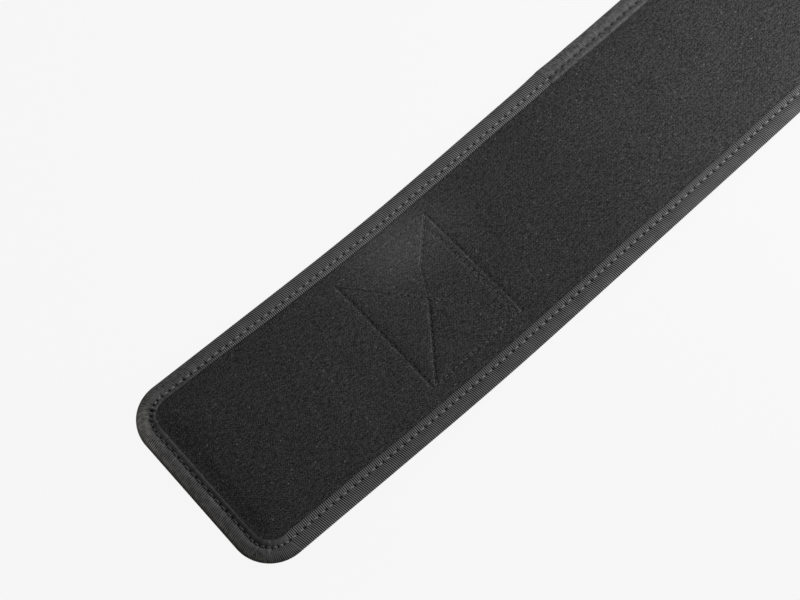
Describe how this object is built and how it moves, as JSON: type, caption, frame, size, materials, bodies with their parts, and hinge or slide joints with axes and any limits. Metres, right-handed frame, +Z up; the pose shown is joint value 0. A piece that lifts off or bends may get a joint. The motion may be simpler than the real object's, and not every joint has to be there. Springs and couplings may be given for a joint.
{
  "type": "weightlifting belt",
  "caption": "Padded nylon weightlifting belt lying open with its inner face up, bound all round with ribbed tape, with a webbing strap and a wire ring on its outer face.",
  "frame": {"origin": "on the ground under the middle of the belt's footprint", "axes": "+X along the belt from the raised end with the ring to the tip of the closing strap, +Y across it, +Z up from the ground"},
  "size_m": [1.1282, 0.1006, 0.0334],
  "materials": {
    "body_fabric": "fine woven polyester, matt black, with a little lint",
    "binding_tape": "ribbed grosgrain tape, dark grey, slightly glossy ribs",
    "strap_webbing": "flat woven nylon webbing, black",
    "ring_steel": "round steel wire, nickel plated"
  },
  "bodies": {
    "root": {"padded_panel": "body_fabric", "edge_binding": "binding_tape", "support_strap": "strap_webbing", "ring_loop": "strap_webbing", "buckle_ring": "ring_steel"}
  },
  "joints": []
}
